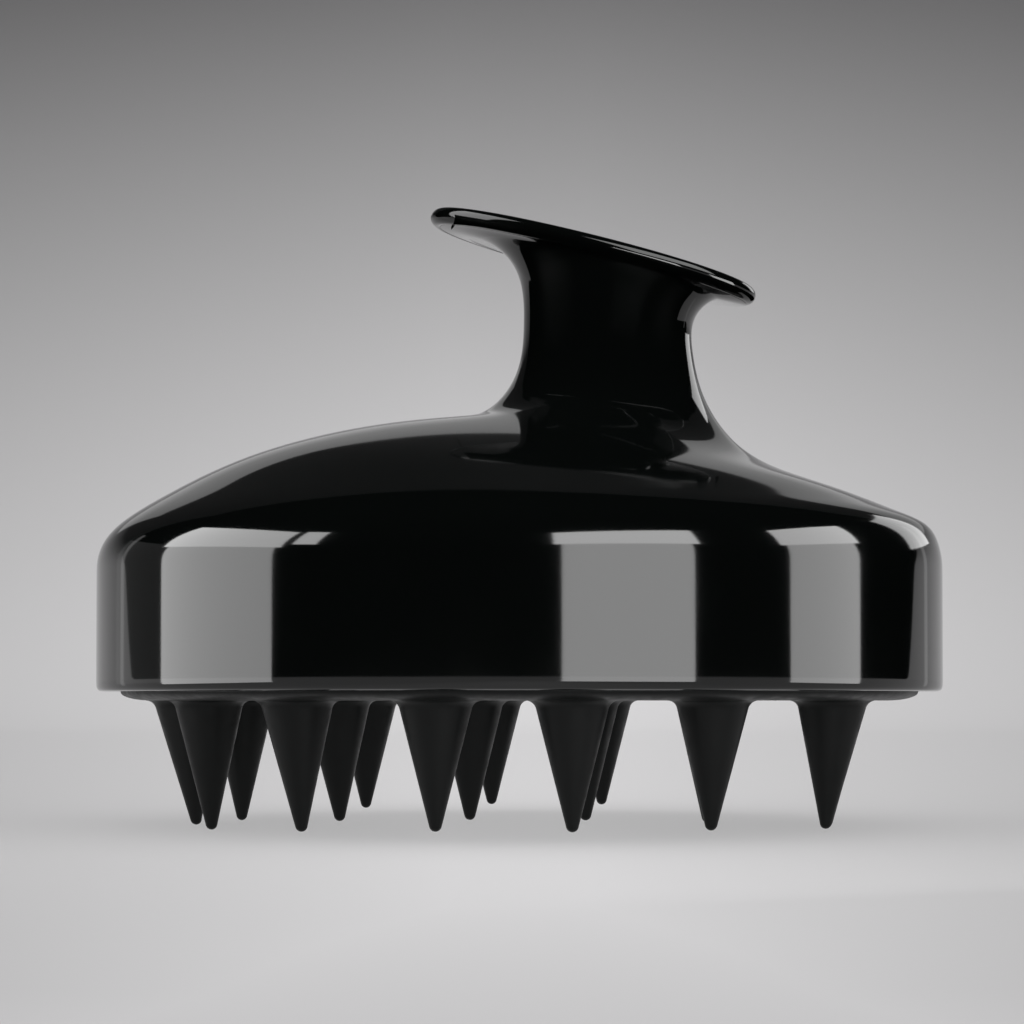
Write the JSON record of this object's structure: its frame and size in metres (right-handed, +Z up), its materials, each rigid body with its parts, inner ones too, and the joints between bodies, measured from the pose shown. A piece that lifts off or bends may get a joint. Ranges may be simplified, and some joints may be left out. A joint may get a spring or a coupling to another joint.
{
  "type": "scalp massager brush",
  "caption": "Oval hand brush for massaging the scalp: glossy domed shell, off-centre stem with a tilted finger plate, and flexible cone teeth underneath.",
  "frame": {"origin": "middle of the footprint, at the level of the lowest tooth tips", "axes": "+X along the oval's long axis, towards the side that the finger plate slopes down to; +Y across the brush; +Z up"},
  "size_m": [0.081, 0.072, 0.0599],
  "materials": {
    "gloss_shell": "polished black ABS moulding",
    "silicone": "black silicone with a fine satin moulded surface",
    "inner_plate": "unpolished dark grey ABS moulding",
    "screw_steel": "zinc-plated self-tapping screw"
  },
  "bodies": {
    "brush_body": {"upper_shell": "gloss_shell", "finger_plate": "gloss_shell", "carrier_plate": "inner_plate", "bristle_pad": "silicone", "plate_screws": "screw_steel"},
    "tooth_01": {"tooth_01": "silicone"},
    "tooth_02": {"tooth_02": "silicone"},
    "tooth_03": {"tooth_03": "silicone"},
    "tooth_04": {"tooth_04": "silicone"},
    "tooth_05": {"tooth_05": "silicone"},
    "tooth_06": {"tooth_06": "silicone"},
    "tooth_07": {"tooth_07": "silicone"},
    "tooth_08": {"tooth_08": "silicone"},
    "tooth_09": {"tooth_09": "silicone"},
    "tooth_10": {"tooth_10": "silicone"},
    "tooth_11": {"tooth_11": "silicone"},
    "tooth_12": {"tooth_12": "silicone"},
    "tooth_13": {"tooth_13": "silicone"},
    "tooth_14": {"tooth_14": "silicone"},
    "tooth_15": {"tooth_15": "silicone"},
    "tooth_16": {"tooth_16": "silicone"},
    "tooth_17": {"tooth_17": "silicone"},
    "tooth_18": {"tooth_18": "silicone"}
  },
  "joints": [
    {"name": "tooth_01_flex", "type": "hinge", "parent": "brush_body", "child": "tooth_01", "pos_m": [-0.0051, -0.0272, 0.0131], "axis": [-0.9829, 0.1843, 0], "range_deg": [-12, 12], "stiffness_Nm_per_rad": 0.02},
    {"name": "tooth_02_flex", "type": "hinge", "parent": "brush_body", "child": "tooth_02", "pos_m": [-0.01818, -0.0208, 0.0131], "axis": [-0.7616, 0.6481, 0], "range_deg": [-12, 12], "stiffness_Nm_per_rad": 0.02},
    {"name": "tooth_03_flex", "type": "hinge", "parent": "brush_body", "child": "tooth_03", "pos_m": [-0.02854, -0.0088, 0.0131], "axis": [-0.2979, 0.9546, 0], "range_deg": [-12, 12], "stiffness_Nm_per_rad": 0.02},
    {"name": "tooth_04_flex", "type": "hinge", "parent": "brush_body", "child": "tooth_04", "pos_m": [-0.0049, 0.0272, 0.0131], "axis": [0.9842, 0.1773, 0], "range_deg": [-12, 12], "stiffness_Nm_per_rad": 0.02},
    {"name": "tooth_05_flex", "type": "hinge", "parent": "brush_body", "child": "tooth_05", "pos_m": [-0.0177, 0.0208, 0.0131], "axis": [0.7616, 0.6481, 0], "range_deg": [-12, 12], "stiffness_Nm_per_rad": 0.02},
    {"name": "tooth_06_flex", "type": "hinge", "parent": "brush_body", "child": "tooth_06", "pos_m": [-0.0287, 0.0088, 0.0131], "axis": [0.2931, 0.9561, 0], "range_deg": [-12, 12], "stiffness_Nm_per_rad": 0.02},
    {"name": "tooth_07_flex", "type": "hinge", "parent": "brush_body", "child": "tooth_07", "pos_m": [0.0066, -0.0272, 0.0131], "axis": [-0.9718, -0.2358, 0], "range_deg": [-12, 12], "stiffness_Nm_per_rad": 0.02},
    {"name": "tooth_08_flex", "type": "hinge", "parent": "brush_body", "child": "tooth_08", "pos_m": [0.01862, -0.0208, 0.0131], "axis": [-0.749, -0.6626, 0], "range_deg": [-12, 12], "stiffness_Nm_per_rad": 0.02},
    {"name": "tooth_09_flex", "type": "hinge", "parent": "brush_body", "child": "tooth_09", "pos_m": [0.02972, -0.0088, 0.0131], "axis": [-0.2904, -0.9569, 0], "range_deg": [-12, 12], "stiffness_Nm_per_rad": 0.02},
    {"name": "tooth_10_flex", "type": "hinge", "parent": "brush_body", "child": "tooth_10", "pos_m": [0.007, 0.0272, 0.0131], "axis": [0.9684, -0.2492, 0], "range_deg": [-12, 12], "stiffness_Nm_per_rad": 0.02},
    {"name": "tooth_11_flex", "type": "hinge", "parent": "brush_body", "child": "tooth_11", "pos_m": [0.01862, 0.0208, 0.0131], "axis": [0.749, -0.6626, 0], "range_deg": [-12, 12], "stiffness_Nm_per_rad": 0.02},
    {"name": "tooth_12_flex", "type": "hinge", "parent": "brush_body", "child": "tooth_12", "pos_m": [0.03079, 0.0088, 0.0131], "axis": [0.2806, -0.9598, 0], "range_deg": [-12, 12], "stiffness_Nm_per_rad": 0.02},
    {"name": "tooth_13_flex", "type": "hinge", "parent": "brush_body", "child": "tooth_13", "pos_m": [-0.03253, 0, 0.0131], "axis": [0, 1, 0], "range_deg": [-12, 12], "stiffness_Nm_per_rad": 0.02},
    {"name": "tooth_14_flex", "type": "hinge", "parent": "brush_body", "child": "tooth_14", "pos_m": [0.03024, 0, 0.0131], "axis": [0, -1, 0], "range_deg": [-12, 12], "stiffness_Nm_per_rad": 0.02},
    {"name": "tooth_15_flex", "type": "hinge", "parent": "brush_body", "child": "tooth_15", "pos_m": [-0.0047, 0, 0.0131], "axis": [0, 1, 0], "range_deg": [-12, 12], "stiffness_Nm_per_rad": 0.02},
    {"name": "tooth_16_flex", "type": "hinge", "parent": "brush_body", "child": "tooth_16", "pos_m": [-0.01773, 0, 0.0131], "axis": [0, 1, 0], "range_deg": [-12, 12], "stiffness_Nm_per_rad": 0.02},
    {"name": "tooth_17_flex", "type": "hinge", "parent": "brush_body", "child": "tooth_17", "pos_m": [0.0065, 0, 0.0131], "axis": [0, -1, 0], "range_deg": [-12, 12], "stiffness_Nm_per_rad": 0.02},
    {"name": "tooth_18_flex", "type": "hinge", "parent": "brush_body", "child": "tooth_18", "pos_m": [0.01842, 0, 0.0131], "axis": [0, -1, 0], "range_deg": [-12, 12], "stiffness_Nm_per_rad": 0.02}
  ]
}
